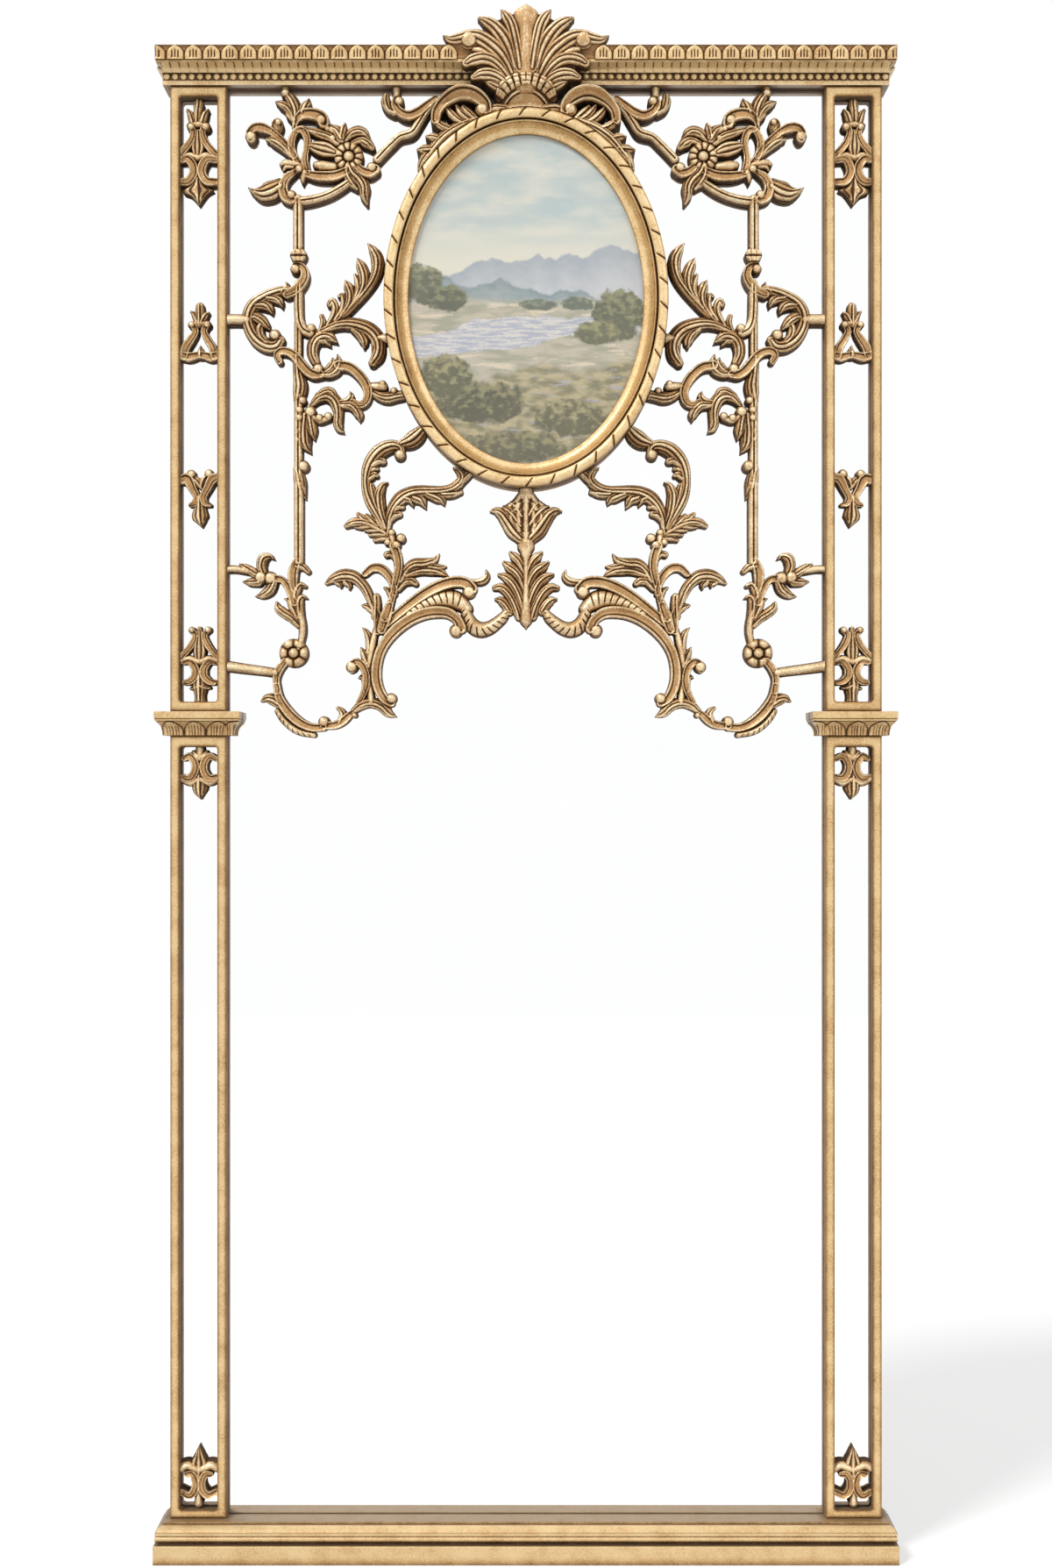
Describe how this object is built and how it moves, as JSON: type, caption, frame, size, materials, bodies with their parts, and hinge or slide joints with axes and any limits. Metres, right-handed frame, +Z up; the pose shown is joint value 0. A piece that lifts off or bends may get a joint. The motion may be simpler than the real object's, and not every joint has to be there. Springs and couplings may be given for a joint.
{
  "type": "trumeau mirror",
  "caption": "Tall floor-standing trumeau mirror: gilt pierced pilasters, carved cornice and crest, and an oval picture with openwork scrolls over one sheet of glass.",
  "frame": {"origin": "middle of the plinth's underside", "axes": "+Z up, the front looks along -Y, +X to the right of someone who faces the mirror"},
  "size_m": [0.9456, 0.1, 1.9747],
  "materials": {
    "gilding": "antique gold leaf over carved wood and composition, worn on the edges, umber in the recesses",
    "back_wood": "unfinished softwood, stained brown",
    "mirror": "silvered glass",
    "picture": "painted panel, matt",
    "steel": "plain steel"
  },
  "bodies": {
    "root": {"arabesque_left": "gilding", "arabesque_right": "gilding", "arch_scroll_left": "gilding", "arch_scroll_right": "gilding", "back_rail_bottom": "back_wood", "back_rail_middle": "back_wood", "back_rail_top": "back_wood", "back_stile_left": "back_wood", "back_stile_right": "back_wood", "backboard_lower": "back_wood", "backboard_screws": "steel", "backboard_upper": "back_wood", "capital_left": "gilding", "capital_right": "gilding", "carcass_screws": "steel", "centre_pendant": "gilding", "corner_spray_left": "gilding", "corner_spray_right": "gilding", "cornice_bead_strip": "gilding", "cornice_core": "back_wood", "cornice_fluted_cove": "gilding", "cornice_leaf_moulding": "gilding", "crest_arm_left": "gilding", "crest_arm_right": "gilding", "crest_palmette": "gilding", "feather_leaf_left": "gilding", "feather_leaf_right": "gilding", "flower_drop_left": "gilding", "flower_drop_right": "gilding", "hanger_plates": "steel", "hanger_screws": "steel", "lower_drop_left": "gilding", "lower_drop_right": "gilding", "mirror_glass": "mirror", "oval_backing": "back_wood", "oval_picture_panel": "picture", "oval_ribbon_frame": "gilding", "oval_sight_moulding": "gilding", "pilaster_lower_inner_bar_left": "gilding", "pilaster_lower_inner_bar_right": "gilding", "pilaster_lower_outer_bar_left": "gilding", "pilaster_lower_outer_bar_right": "gilding", "pilaster_lower_rails_left": "gilding", "pilaster_lower_rails_right": "gilding", "pilaster_upper_inner_bar_left": "gilding", "pilaster_upper_inner_bar_right": "gilding", "pilaster_upper_outer_bar_left": "gilding", "pilaster_upper_outer_bar_right": "gilding", "pilaster_upper_rails_left": "gilding", "pilaster_upper_rails_right": "gilding", "plinth_block": "gilding", "plinth_moulding": "gilding", "shoulder_scroll_left": "gilding", "shoulder_scroll_right": "gilding", "side_scroll_left": "gilding", "side_scroll_right": "gilding", "strip_ornaments_left": "gilding", "strip_ornaments_right": "gilding"}
  },
  "joints": []
}
